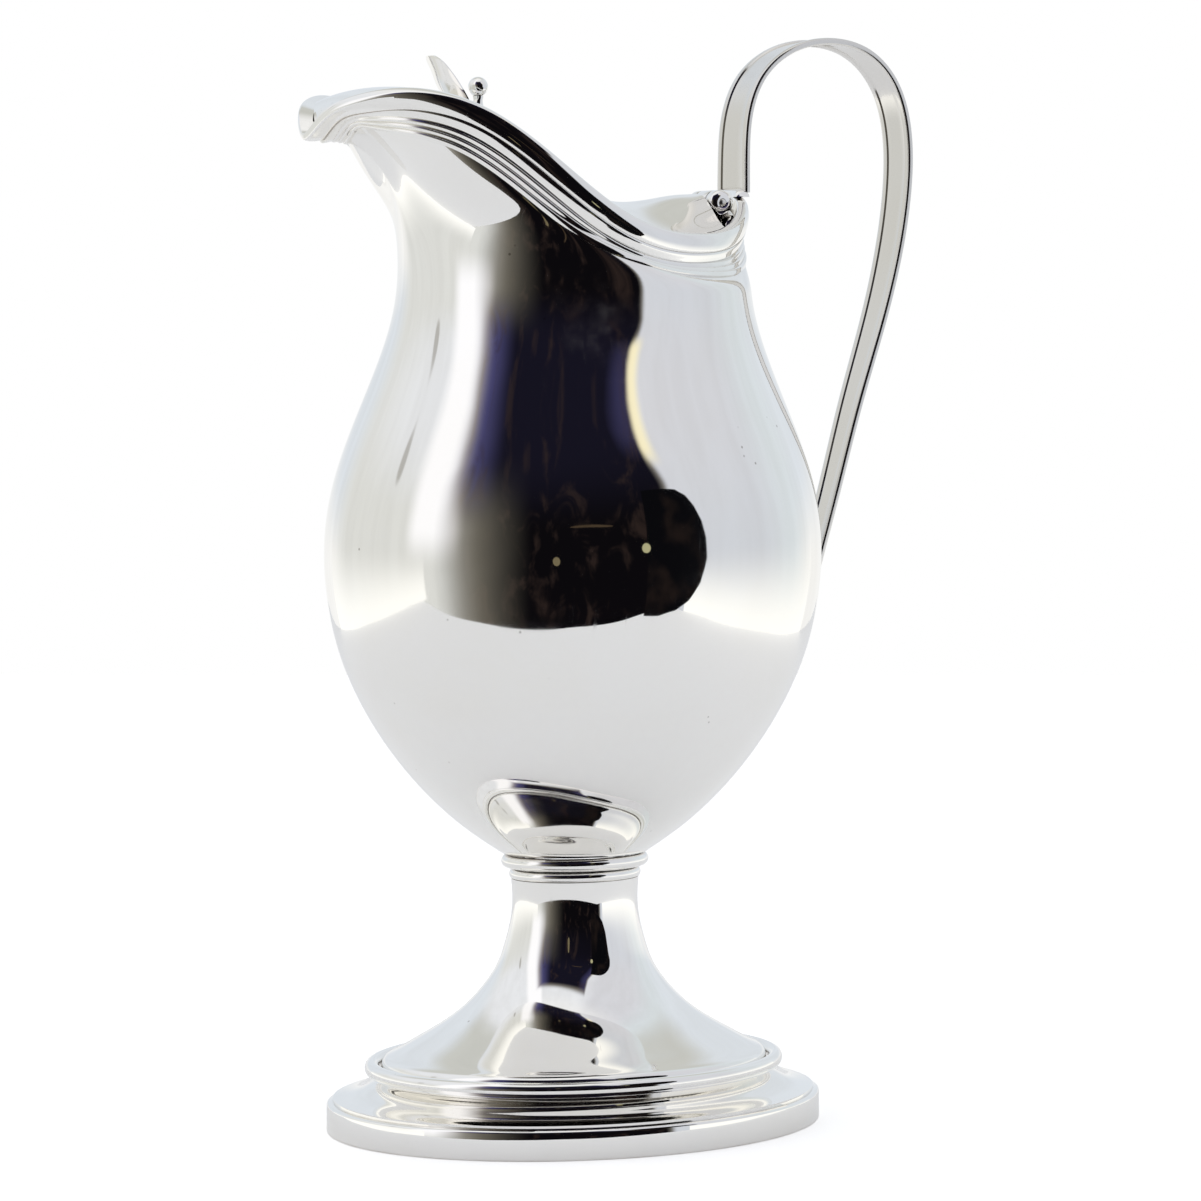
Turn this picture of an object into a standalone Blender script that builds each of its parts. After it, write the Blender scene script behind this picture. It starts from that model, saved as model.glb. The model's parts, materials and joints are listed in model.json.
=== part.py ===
"""Covered silver water jug on an oval pedestal foot, built as separate soldered and hinged pieces.

Blender units are metres, +Z up. Sizes below are in millimetres and measured from the foot's own
vertical axis, with the lip towards -X and the handle towards +X.
"""
import math

import bmesh
import bpy
import numpy as np

MM = 0.001
GAP = 0.3  # air left between pieces that are soldered together in the real jug
FOOT_AXIS_X = -12.322  # places the middle of the whole length on X = 0
OVAL = 0.80  # every horizontal section is this much narrower across than along

# bowl and neck
WALL = 1.2
BOWL_BOTTOM_Z = 74.1
NECK_Z = 226.0
NECK_PROBE = 0.5
# half length of the body at each height
BOWL_HALF_LENGTH = [(74.1, 20.8), (80.0, 29.8), (88.0, 39.6), (99.0, 49.9), (111.0, 58.4),
                    (126.4, 66.0), (142.8, 70.3), (159.2, 71.3), (175.6, 68.7), (192.1, 62.8),
                    (208.5, 56.0), (219.5, 52.4), (228.0, 50.9), (240.0, 50.7)]

# the mouth, seen from above, is an oval set forward of the foot axis
MOUTH_X = -15.5
MOUTH_HALF_LENGTH = 67.5
MOUTH_HALF_WIDTH = 39.0
LIP_NARROWING = 0.12
# height of its top line at each angle round from the lip, in degrees
MOUTH_HEIGHT = [(-26, 277.8), (-14, 273.6), (0, 267.6), (14, 273.6), (26, 277.8), (40, 280.0),
                (53, 278.7), (64, 274.4), (75, 266.8), (87, 256.6), (98, 248.6), (110, 244.0),
                (123, 243.0), (140, 245.0), (160, 251.0), (180, 254.6), (200, 251.0)]
LIP_SPREAD = 38.0  # degrees either side of the lip over which the wall flares out
LIP_FLARE = 90.0
LIP_DROP = 0.4
SIDE_FLARE = 3.0

# half-round wire on the wall's edge, and the flat band with three reeds below it
BEAD_RADIUS = 2.6
BEAD_PROUD = 2.2
BEAD_DEPTH = 5.5
BAND_TOP = 0.2
BAND_FLAT = 2.5
BAND_PROUD = 1.1
REED_PITCH = 1.7
REED_PROUD = 1.5
GROOVE_PROUD = 0.6

# cover and its hinge
HINGE_X = 43.3
HINGE_Z = 252.0
KNUCKLE_RADIUS = 3.6
KNUCKLE_BORE = 1.35
KNUCKLE_CHAMFER = 0.3
LID_KNUCKLE_LENGTH = 6.0
SIDE_KNUCKLE_LENGTH = 3.6
SIDE_KNUCKLE_Y = 5.1
PIN_RADIUS = 1.27
PIN_HALF_LENGTH = 7.2
LID_BACK_X = 39.3
LID_THICK = 1.2
LID_MIDDLE_X = -15.0
LID_EDGE_DEPTH = 4.0
LID_EDGE_INSET = 1.8
# rise of the cover's ridge above its own edge, along its length
LID_RISE = [(-79.0, 0.0), (-60.0, 3.6), (-45.0, 8.2), (-30.0, 12.8), (-15.0, 13.7), (0.0, 12.4),
            (12.0, 11.6), (24.0, 12.4), (33.0, 12.2), (39.3, 10.1)]
# how steeply its section falls from the ridge: 1 is a plain arch, more is a ridge with hollow flanks
LID_SECTION = [(-79.0, 1.2), (-30.0, 1.4), (10.0, 2.2), (39.3, 2.6)]

FINIAL_X = -30.3
FINIAL_BALL_Z = 282.5
FINIAL_BALL_RADIUS = 2.7
# (height share, distance along the jug) of the leaf's middle line, its half width and its cup
LEAF_LINE = [(0.0, -38.6), (0.3, -41.6), (0.65, -43.6), (1.0, -45.6)]
LEAF_HALF_WIDTH = [(0.0, 5.6), (0.3, 6.4), (0.7, 4.9), (0.92, 3.5), (1.0, 2.2)]
LEAF_CUP = [(0.0, 3.2), (0.5, 2.2), (1.0, 0.5)]
LEAF_TIP_Z = 290.4
LEAF_THICK = 1.0

# handle
STRAP_THICK = 2.0
# middle line of the strap, from the rim over the top and down to the back of the bowl
STRAP_PATH = [(51.2, 257.2), (51.3, 266.0), (52.4, 277.0), (57.0, 287.5), (67.0, 295.3),
              (80.5, 298.0), (93.0, 295.0), (101.8, 286.5), (106.0, 274.0), (106.2, 257.0),
              (103.2, 238.5), (98.2, 220.0), (90.6, 197.0), (83.2, 172.0), (76.8, 151.0),
              (71.6, 133.5), (69.5, 126.0)]
# its width at each fraction of the way along
STRAP_WIDTH = [(0.0, 15.0), (0.25, 13.4), (0.5, 12.6), (0.75, 10.4), (1.0, 9.0)]
STRAP_EDGE = 0.7
STRAP_REED = 1.5
STRAP_FIELD = 0.55  # thickness of the flat field between the reeds, as a share of the strap's
SADDLE_HALF_ANGLE = 12.0
SADDLE_THICK = 1.2
PAD_BOTTOM_Z = 112.0
PAD_TOP_Z = 127.5
PAD_THICK = 1.1

# (radius, height) of the raised foot's outer line, from the stem down to the hollow moulding
FOOT_LINE = [(18.3, 66.7), (18.0, 60.6), (18.7, 55.0), (20.1, 49.7), (22.1, 44.2), (25.7, 38.7),
             (30.8, 33.3), (38.3, 27.8), (46.4, 23.3), (52.2, 20.4), (54.6, 19.0), (55.2, 16.6),
             (55.8, 14.1), (58.2, 12.4), (61.4, 10.7), (65.6, 9.5), (68.8, 9.2)]
FOOT_WALL = 1.2
STEP_WIRE = (2.1, 57.8, 16.7)  # wire radius, ring radius, height
COLLAR_WIRE = (1.75, 19.4, 72.0)


def clear_scene():
    for obj in list(bpy.data.objects):
        bpy.data.objects.remove(obj, do_unlink=True)


def collection(name):
    group = bpy.data.collections.new(name)
    bpy.context.scene.collection.children.link(group)
    return group


def silver(name, tint, roughness):
    mat = bpy.data.materials.new(name)
    mat.use_nodes = True
    bsdf = mat.node_tree.nodes["Principled BSDF"]
    bsdf.inputs["Base Color"].default_value = (*tint, 1.0)
    bsdf.inputs["Metallic"].default_value = 1.0
    bsdf.inputs["Roughness"].default_value = roughness
    return mat


def spline(knots, at):
    """Smooth cubic through (position, value) knots, with no bend at its two ends."""
    x, y = np.array(knots, float).T
    at = np.asarray(at, float)
    h = np.diff(x)
    rows = np.eye(len(x))
    turn = np.zeros(len(x))
    for i in range(1, len(x) - 1):
        rows[i, i - 1:i + 2] = h[i - 1], 2 * (h[i - 1] + h[i]), h[i]
        turn[i] = 6 * ((y[i + 1] - y[i]) / h[i] - (y[i] - y[i - 1]) / h[i - 1])
    m = np.linalg.solve(rows, turn)
    i = np.clip(np.searchsorted(x, at) - 1, 0, len(x) - 2)
    lo, hi = x[i + 1] - at, at - x[i]
    bend = (m[i] * lo ** 3 + m[i + 1] * hi ** 3) / (6 * h[i])
    return bend + (y[i] / h[i] - m[i] * h[i] / 6) * lo + (y[i + 1] / h[i] - m[i + 1] * h[i] / 6) * hi


def unit(vectors):
    return vectors / np.linalg.norm(vectors, axis=-1, keepdims=True)


def add_object(name, mesh, mat, group):
    obj = bpy.data.objects.new(name, mesh)
    group.objects.link(obj)
    mesh.materials.append(mat)
    mesh.shade_smooth()
    mesh.set_sharp_from_angle(angle=math.radians(40))
    return obj


def add_point(bm, point):
    return bm.verts.new(((point[0] + FOOT_AXIS_X) * MM, point[1] * MM, point[2] * MM))


def add_loft(name, rings, mat, group, loop=False, pole=False):
    """Skin over closed rings of points. loop joins the last ring to the first, and pole closes the
    first ring onto its own middle and leaves the last one open. Otherwise both ends are capped."""
    rings = [np.asarray(r, float) for r in rings]
    count = len(rings[0])
    mesh = bpy.data.meshes.new(name)
    bm = bmesh.new()
    rows = [[add_point(bm, p) for p in ring] for ring in rings]
    pairs = list(zip(rows[:-1], rows[1:]))
    if loop:
        pairs.append((rows[-1], rows[0]))
    for low, high in pairs:
        for i in range(count):
            j = (i + 1) % count
            bm.faces.new((low[i], low[j], high[j], high[i]))
    if pole:
        tip = add_point(bm, rings[0].mean(axis=0))
        for i in range(count):
            bm.faces.new((rows[0][(i + 1) % count], rows[0][i], tip))
    elif not loop:
        bm.faces.new(rows[0])
        bm.faces.new(rows[-1])
    if not pole:
        bmesh.ops.recalc_face_normals(bm, faces=bm.faces)
    bm.to_mesh(mesh)
    bm.free()
    return add_object(name, mesh, mat, group)


def add_strip(name, tracks, mat, group, loop=False):
    """Loft whose section's corners each run along a track."""
    rings = [[track[i] for track in tracks] for i in range(len(tracks[0]))]
    return add_loft(name, rings, mat, group, loop=loop)


def add_turned(name, outline, mat, group, steps=40, at=(0, 0, 0), oval=1.0, tilt=(0, 0, 0), closed=True):
    """Turn a (radius, height) outline round the local Z axis."""
    mesh = bpy.data.meshes.new(name)
    bm = bmesh.new()
    points = [bm.verts.new((r * MM, 0, z * MM)) for r, z in outline]
    for a, b in zip(points[:-1], points[1:]):
        bm.edges.new((a, b))
    if closed:
        bm.edges.new((points[-1], points[0]))
    bm.to_mesh(mesh)
    bm.free()
    obj = add_object(name, mesh, mat, group)
    turn = obj.modifiers.new("turn", "SCREW")
    turn.axis = "Z"
    turn.steps = steps
    turn.render_steps = steps
    turn.use_merge_vertices = True
    turn.merge_threshold = 0.00001
    turn.use_normal_calculate = True
    turn.use_smooth_shade = True
    obj.location = ((at[0] + FOOT_AXIS_X) * MM, at[1] * MM, at[2] * MM)
    obj.rotation_euler = tilt
    obj.scale = (1.0, oval, 1.0)
    return obj


def full_turn(count):
    return np.arange(count) * 2 * math.pi / count


def round_section(radius, middle, height, count=10):
    """Closed circle in a (radius, height) outline."""
    return [(middle + radius * math.cos(a), height + radius * math.sin(a)) for a in full_turn(count)]


def from_lip(angle):
    """Degrees round from the lip, either way."""
    return np.abs((np.degrees(angle) + 180) % 360 - 180)


def lip_weight(angle):
    """1 at the lip, falling to 0 round the sides and back."""
    return np.exp(-(from_lip(angle) / LIP_SPREAD) ** 2)


def slimming(angle):
    """Like lip_weight, but held close to the very tip of the lip."""
    return (lip_weight(angle) ** 3)[:, None]


def mouth_line(angle, inset=0.0):
    """The mouth's oval at the top of the rim, moved inwards by inset."""
    taper = 1 - LIP_NARROWING * np.clip(np.cos(angle), 0, 1) ** 6
    x = MOUTH_X - (MOUTH_HALF_LENGTH - inset) * np.cos(angle)
    y = -(MOUTH_HALF_WIDTH - inset) * np.sin(angle) * taper
    return np.stack([x, y, spline(MOUTH_HEIGHT, from_lip(angle))], axis=-1)


def top_line(angle):
    """Top of the bead, above the wall's outer face."""
    lip = lip_weight(angle)
    taper = 1 - LIP_NARROWING * np.clip(np.cos(angle), 0, 1) ** 6
    line = mouth_line(angle)
    line[..., 0] += BEAD_PROUD * (1 - lip) * np.cos(angle)
    line[..., 1] += BEAD_PROUD * np.sin(angle) * taper
    line[..., 2] -= LIP_DROP * lip
    return line


def flare_direction(angle):
    """Way the wall is heading where it ends under the rim bead."""
    out = unit(np.stack([-MOUTH_HALF_WIDTH * np.cos(angle), -MOUTH_HALF_LENGTH * np.sin(angle),
                         np.zeros_like(angle)], axis=-1))
    lean = np.radians(SIDE_FLARE + (LIP_FLARE - SIDE_FLARE) * lip_weight(angle))[..., None]
    return out * np.sin(lean) + np.array([0.0, 0.0, 1.0]) * np.cos(lean)


def mouth_frame(angle):
    """Top line, the way down the wall square to it, and the outward normal."""
    along = unit(top_line(angle + 0.01) - top_line(angle - 0.01))
    up = flare_direction(angle)
    up = unit(up - along * np.sum(up * along, axis=-1, keepdims=True))
    return top_line(angle), -up, np.cross(along, up)


def bowl_ring(angle, height):
    half = float(spline(BOWL_HALF_LENGTH, height))
    return np.stack([-half * np.cos(angle), -half * OVAL * np.sin(angle),
                     np.full_like(angle, height)], axis=-1)


def neck_wall(angle, climb):
    """Outer face of the wall from the neck (climb 0) to its edge under the bead (climb 1).
    It leaves the bowl with the bowl's own slope and bend."""
    low = bowl_ring(angle, NECK_Z)
    over, under = (bowl_ring(angle, NECK_Z + side * NECK_PROBE) for side in (1, -1))
    top, down, _ = mouth_frame(angle)
    high = top + down * BEAD_DEPTH
    reach = np.linalg.norm(high - low, axis=-1, keepdims=True)
    slope = (over - under) / (2 * NECK_PROBE) * reach
    bend = (over + under - 2 * low) / NECK_PROBE ** 2 * reach ** 2
    lean = flare_direction(angle) * reach
    s = np.asarray(climb)[..., None]
    return (low * (1 - 10 * s ** 3 + 15 * s ** 4 - 6 * s ** 5)
            + slope * (s - 6 * s ** 3 + 8 * s ** 4 - 3 * s ** 5)
            + bend * (s ** 2 - 3 * s ** 3 + 3 * s ** 4 - s ** 5) / 2
            + lean * (-4 * s ** 3 + 7 * s ** 4 - 3 * s ** 5)
            + high * (10 * s ** 3 - 15 * s ** 4 + 6 * s ** 5))


def wall_slopes(turn, climb):
    """Point on the wall, and how it moves with the turn and with the climb."""
    here = neck_wall(turn, climb)
    by_turn = (neck_wall(turn + 0.002, climb) - neck_wall(turn - 0.002, climb)) / 0.004
    by_climb = (here - neck_wall(turn, climb - 0.004)) / 0.004
    return here, by_turn, by_climb


def dot(a, b):
    return np.sum(a * b, axis=-1)


def wall_walk(angle, distances, stride=0.35):
    """Walk down the wall's outer face from its edge, square to the mouth. For each distance gives
    the point reached and the outward normal there."""
    turn = np.array(angle, float)
    climb = np.ones_like(turn)
    _, down, _ = mouth_frame(turn)
    gone = 0.0
    found = []
    for target in distances:
        here, by_turn, by_climb = wall_slopes(turn, climb)
        while target - gone > 1e-6:
            step = min(stride, target - gone)
            normal = unit(np.cross(by_turn, by_climb))
            down = unit(down - normal * dot(down, normal)[:, None])
            tt, tc, cc = dot(by_turn, by_turn), dot(by_turn, by_climb), dot(by_climb, by_climb)
            dt, dc = dot(down, by_turn), dot(down, by_climb)
            turn = turn + step * (dt * cc - dc * tc) / (tt * cc - tc * tc)
            climb = climb + step * (dc * tt - dt * tc) / (tt * cc - tc * tc)
            gone += step
            here, by_turn, by_climb = wall_slopes(turn, climb)
        found.append((here, unit(np.cross(by_turn, by_climb))))
    return found


def build_bead(mat, group, around=80, across=9):
    """Half-round wire standing on the wall's edge all round the mouth, slimmer at the lip."""
    angle = full_turn(around)
    top, down, normal = mouth_frame(angle)
    slim = slimming(angle)
    tracks = []
    for a in np.radians(np.linspace(-108, 108, across)):
        out = BEAD_PROUD - BEAD_RADIUS + BEAD_RADIUS * math.cos(a)
        out = out * (1 - 0.35 * slim) - 0.9 * slim
        tracks.append(top + down * BEAD_RADIUS * (1 + math.sin(a)) + normal * out)
    add_strip("rim_bead", tracks, mat, group, loop=True)


def band_section():
    """(distance down the wall, distance proud of it) across the flat band and its three reeds."""
    start = BAND_TOP + BAND_FLAT + GAP
    section = [(BAND_TOP, BAND_PROUD), (BAND_TOP + BAND_FLAT, BAND_PROUD), (start, GROOVE_PROUD)]
    for reed in range(3):
        crest = start + (reed + 0.5) * REED_PITCH
        section += [(crest, REED_PROUD), (crest + REED_PITCH / 2, GROOVE_PROUD)]
    return section


def build_reeded_band(mat, group, around=72):
    """Flat band and three reeds on the outside of the wall under the bead."""
    section = band_section()
    angle = full_turn(around)
    slim = 1 - 0.4 * slimming(angle)
    walk = wall_walk(angle, [down for down, _ in section])
    tracks = [here + normal * out * slim for (here, normal), (_, out) in zip(walk, section)]
    inner = GAP + 0.12
    tracks += [here + normal * inner for here, normal in walk[::-2]]
    add_strip("rim_reeded_band", tracks, mat, group, loop=True)


def build_body(mat, group, around=60):
    """Bowl, neck and lip in one sheet, closed at the bottom."""
    angle = full_turn(around)
    middle = (0.35, 0.8)
    rings = [bowl_ring(angle, BOWL_BOTTOM_Z) * np.array([f, f, 1.0]) for f in middle]
    heights = [BOWL_BOTTOM_Z, 75.6, 78.4, *np.linspace(82.5, NECK_Z, 15)]
    rings += [bowl_ring(angle, h) for h in heights]
    rings += [neck_wall(angle, c) for c in (0.15, 0.3, 0.44, 0.57, 0.69, 0.8, 0.88, 0.95, 1.0)]
    obj = add_loft("body", rings, mat, group, pole=True)
    shell = obj.modifiers.new("sheet", "SOLIDIFY")
    shell.thickness = WALL * MM
    shell.offset = -1.0
    shell.use_even_offset = True
    return obj


def build_lid_seats(mat, group):
    """Ledge strips inside the neck, one each side, that carry the lid. They stop short of the lip."""
    section = [(4.5, -1.6), (4.5, -3.4), (5.9, -3.4), (6.4, -2.0)]  # down the wall, out from it
    for name, side in (("lid_seat_left", 1), ("lid_seat_right", -1)):
        top, down, normal = mouth_frame(side * np.radians(np.linspace(48, 136, 17)))
        add_strip(name, [top + down * d + normal * n for d, n in section], mat, group)


def lid_edge(angle):
    """Lower edge of the lid, just inside the bead."""
    top, down, normal = mouth_frame(angle)
    return top + down * LID_EDGE_DEPTH - normal * (LID_EDGE_INSET + 0.9 * slimming(angle))


def lid_sides(x):
    """Half width of the lid at a distance along the jug, and the height of its edge there."""
    edge = lid_edge(np.linspace(0, 0.95 * math.pi, 600))
    return np.sqrt(np.interp(x, edge[:, 0], edge[:, 1] ** 2)), np.interp(x, edge[:, 0], edge[:, 2])


def lid_under(x, y):
    """Height of the lid's lower face: a ridge that falls away in a bell to the edge on each side."""
    half, low = lid_sides(x)
    fall = np.clip(1 - (y / np.maximum(half, 0.01)) ** 2, 0, 1)
    return low + spline(LID_RISE, x) * fall ** spline(LID_SECTION, x)


def lid_outline(count_side=48, count_back=10):
    """Points round the lid's edge: the mouth's line, then the straight back edge at the hinge."""
    angle = np.linspace(0.5 * math.pi, 0.95 * math.pi, 300)
    limit = float(np.interp(LID_BACK_X, lid_edge(angle)[:, 0], angle))
    edge = lid_edge(np.linspace(-limit, limit, count_side + 1))
    y = np.linspace(edge[-1, 1], edge[0, 1], count_back + 1)[1:-1]
    back = np.stack([np.full_like(y, LID_BACK_X), y], axis=-1)
    return np.concatenate([edge[:, :2], back])


def lid_ring(outline, share):
    """Ring of the lid's lower face, share of the way from its middle to its edge."""
    x = LID_MIDDLE_X + share * (outline[:, 0] - LID_MIDDLE_X)
    y = share * outline[:, 1]
    return np.stack([x, y, lid_under(x, y)], axis=-1)


def build_lid(mat, group):
    outline = lid_outline()
    lower = [lid_ring(outline, share) for share in (0.05, 0.22, 0.4, 0.57, 0.73, 0.88, 1.0)]
    upper = [ring + np.array([0.0, 0.0, LID_THICK]) for ring in lower]
    add_loft("lid", lower + upper[::-1], mat, group)


def build_lid_flanges(mat, group):
    """Strips standing down under the lid that centre it in the mouth, one each side."""
    section = [(0.925, 0.6), (0.895, 0.6), (0.895, 3.6), (0.925, 3.6)]  # share of the way out, drop
    for name, side in (("lid_flange_left", 1), ("lid_flange_right", -1)):
        edge = lid_edge(side * np.radians(np.linspace(52, 128, 15)))
        tracks = [lid_ring(edge, share) - np.array([0.0, 0.0, drop]) for share, drop in section]
        add_strip(name, tracks, mat, group)


def knuckle_outline(length):
    half = length / 2
    edge = KNUCKLE_CHAMFER
    return [(KNUCKLE_BORE, -half), (KNUCKLE_RADIUS - edge, -half), (KNUCKLE_RADIUS, -half + edge),
            (KNUCKLE_RADIUS, half - edge), (KNUCKLE_RADIUS - edge, half), (KNUCKLE_BORE, half)]


def build_hinge(mat, dark, group):
    """Three knuckles on a pin: the middle one is the lid's, the outer two are the jug's."""
    steps = 24
    across = (math.pi / 2, 0, 0)
    centre = (HINGE_X, 0, HINGE_Z)
    lid_part = knuckle_outline(LID_KNUCKLE_LENGTH)
    side_part = knuckle_outline(SIDE_KNUCKLE_LENGTH)
    add_turned("hinge_knuckle_lid", lid_part, mat, group, steps, centre, tilt=across)
    for name, y in (("hinge_knuckle_left", -SIDE_KNUCKLE_Y), ("hinge_knuckle_right", SIDE_KNUCKLE_Y)):
        add_turned(name, side_part, mat, group, steps, (HINGE_X, y, HINGE_Z), tilt=across)
    end, edge = PIN_HALF_LENGTH, 0.2
    pin = [(0, -end), (PIN_RADIUS - edge, -end), (PIN_RADIUS, -end + edge), (PIN_RADIUS, end - edge),
           (PIN_RADIUS - edge, end), (0, end)]
    add_turned("hinge_pin", pin, dark, group, steps, centre, tilt=across, closed=False)


def build_hinge_plate(mat, group):
    """Fixed crescent behind the lid that passes under the barrel and carries the outer knuckles."""
    thick = 1.2
    clear = KNUCKLE_RADIUS + GAP + 0.1
    front_x = LID_BACK_X + 0.5
    angle = np.linspace(0.5 * math.pi, 0.95 * math.pi, 300)
    limit = float(np.interp(front_x + 0.6, lid_edge(angle)[:, 0], angle))
    back = lid_edge(np.linspace(limit, 2 * math.pi - limit, 19))
    rings = []
    for x, y, z in back:
        top = []
        for share in np.linspace(0, 1, 9):
            px = front_x + (x - front_x) * share
            level = back[0, 2] + (z - 0.3 - back[0, 2]) * share + 0.2
            dip = HINGE_Z - math.sqrt(max(clear ** 2 - (px - HINGE_X) ** 2, 0.0))
            top.append((px, y, min(level, dip)))
        rings.append(top + [(px, y, pz - thick) for px, y, pz in top[::-1]])
    add_loft("hinge_plate", rings, mat, group)


def build_hinge_leaf(mat, group):
    """Strap under the lid's back edge that joins it to the middle knuckle."""
    half, thick, air = 2.8, 1.0, 0.8
    rings = []
    for x in np.linspace(24.0, HINGE_X - KNUCKLE_RADIUS - GAP - 0.1, 7):
        high = min(float(lid_under(x, y)) for y in (0.0, half)) - air
        section = [(-half, high), (half, high), (half, high - thick), (-half, high - thick)]
        rings.append([(x, y, z) for y, z in section])
    add_loft("hinge_leaf", rings, mat, group)


def build_finial(mat, group):
    """Ball on a short waisted stem whose foot is shaped to the slope of the lid."""
    angle = full_turn(20)
    level = FINIAL_BALL_Z - FINIAL_BALL_RADIUS - GAP
    rings = []
    for radius, rise in ((2.9, 0.0), (3.0, 0.12), (2.0, 0.35), (1.3, 0.7), (1.5, 1.0)):
        x = FINIAL_X + radius * np.cos(angle)
        y = radius * np.sin(angle)
        floor = lid_under(x, y) + LID_THICK + GAP + 0.15
        rings.append(np.stack([x, y, floor + (level - floor) * rise], axis=-1))
    add_loft("finial_stem", rings, mat, group)
    arc = np.linspace(0, math.pi, 11)
    ball = [(FINIAL_BALL_RADIUS * abs(math.sin(a)), -FINIAL_BALL_RADIUS * math.cos(a)) for a in arc]
    ball[0] = (0, -FINIAL_BALL_RADIUS)
    ball[-1] = (0, FINIAL_BALL_RADIUS)
    add_turned("finial_ball", ball, mat, group, 20, (FINIAL_X, 0, FINIAL_BALL_Z), closed=False)


def build_finial_leaf(mat, group, rows=11, across=7):
    """Cupped leaf that springs from the lid in front of the ball and leans towards the lip."""
    rings = []
    for f in np.linspace(0, 1, rows):
        half = float(spline(LEAF_HALF_WIDTH, f))
        cup = float(spline(LEAF_CUP, f))
        s = np.linspace(-1, 1, across)
        front_x = float(spline(LEAF_LINE, f)) + cup * s ** 2
        y = s * half
        thick = LEAF_THICK * (1 - 0.35 * f)
        face = []
        for x in (front_x, front_x + thick):
            floor = lid_under(x, y) + LID_THICK + GAP + 0.15
            face.append(np.stack([x, y, floor + (LEAF_TIP_Z - floor) * f], axis=-1))
        rings.append(np.concatenate([face[0], face[1][::-1]]))
    add_loft("finial_leaf", rings, mat, group)


def strap_frames(count):
    """Evenly spaced points on the strap's middle line, with the way across its thickness."""
    knots = np.array(STRAP_PATH)
    at = np.concatenate([[0], np.cumsum(np.linalg.norm(np.diff(knots, axis=0), axis=1))])
    even = np.linspace(0, at[-1], count)
    x = spline(list(zip(at, knots[:, 0])), even)
    z = spline(list(zip(at, knots[:, 1])), even)
    dx, dz = np.gradient(x, even), np.gradient(z, even)
    size = np.hypot(dx, dz)
    return even / at[-1], x, z, -dz / size, dx / size


def strap_section(half):
    """(across, through) corners of the strap: a raised reed along each edge, both faces alike."""
    inner = STRAP_EDGE + STRAP_REED
    field = inner + STRAP_EDGE
    side = [(half, 0), (half - STRAP_EDGE, 1), (half - inner, 1), (half - field, STRAP_FIELD)]
    face = [(-y, t) for y, t in side] + side[:0:-1]
    return face + [(side[0][0], 0)] + [(y, -t) for y, t in face[:0:-1]]


def build_strap(mat, group):
    """Flat strap handle with a raised reed along each edge."""
    share, x, z, nx, nz = strap_frames(44)
    half_width = spline(STRAP_WIDTH, share) / 2
    rings = []
    for i in range(len(share)):
        section = [(y, t * STRAP_THICK / 2) for y, t in strap_section(half_width[i])]
        rings.append([(x[i] + nx[i] * t, y, z[i] + nz[i] * t) for y, t in section])
    add_loft("handle_strap", rings, mat, group)


def build_handle_saddle(mat, group):
    """Plate on top of the rim that the strap stands on."""
    angle = math.pi + np.radians(np.linspace(-SADDLE_HALF_ANGLE, SADDLE_HALF_ANGLE, 9))
    inner = mouth_line(angle, inset=3.4)
    outer = mouth_line(angle, inset=-0.6)
    high = mouth_line(math.pi)[2] + GAP + 0.1 + SADDLE_THICK
    low_inner, low_outer = inner.copy(), outer.copy()
    for low in (low_inner, low_outer):
        low[:, 2] = np.maximum(low[:, 2] + GAP + 0.1, high - 2 * SADDLE_THICK)
    inner[:, 2] = high
    outer[:, 2] = high
    add_strip("handle_saddle", [low_inner, low_outer, outer, inner], mat, group)


def build_handle_pad(mat, group):
    """Shield-shaped pad soldered on the back of the bowl under the strap's lower end."""
    air = 0.4
    rings = []
    for f in np.linspace(0, 1, 9):
        height = PAD_BOTTOM_Z + f * (PAD_TOP_Z - PAD_BOTTOM_Z)
        half = 1.5 + 5.2 * math.sin(math.pi * (0.12 + 0.62 * f))
        reach = float(spline(BOWL_HALF_LENGTH, height))
        y = np.linspace(-half, half, 5)
        x = reach * np.sqrt(1 - (y / (reach * OVAL)) ** 2)
        z = np.full_like(y, height)
        near = np.stack([x + air, y, z], axis=-1)
        far = np.stack([x + air + PAD_THICK, y, z], axis=-1)
        rings.append(np.concatenate([near, far[::-1]]))
    add_loft("handle_pad", rings, mat, group)


def build_collars(mat, group):
    add_turned("collar_upper", round_section(*COLLAR_WIRE), mat, group, 36, oval=OVAL)
    disc = [(0, 67.0), (17.4, 67.0), (18.5, 67.4), (18.9, 68.4), (18.5, 69.5), (17.2, 69.95), (0, 69.95)]
    add_turned("collar_lower", disc, mat, group, 36, oval=OVAL, closed=False)


def sheet_outline(line, thickness):
    """Close an open (radius, height) line into a sheet of even thickness, on its inner side."""
    points = np.array(line, float)
    along = unit(np.gradient(points, axis=0))
    inner = points + np.stack([along[:, 1], -along[:, 0]], axis=1) * thickness
    return [tuple(p) for p in points] + [tuple(p) for p in inner[::-1]]


def build_foot(mat, group):
    steps = 44
    add_turned("foot_trumpet", sheet_outline(FOOT_LINE, FOOT_WALL), mat, group, steps, oval=OVAL)
    add_turned("foot_step_wire", round_section(*STEP_WIRE), mat, group, steps, oval=OVAL)
    flange = [(64.0, 0.0), (70.2, 0.0), (70.6, 0.4), (70.6, 7.0), (70.1, 7.6), (67.4, 7.6),
              (67.4, 1.6), (64.0, 1.6)]
    add_turned("foot_flange", flange, mat, group, steps, oval=OVAL)


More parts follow.
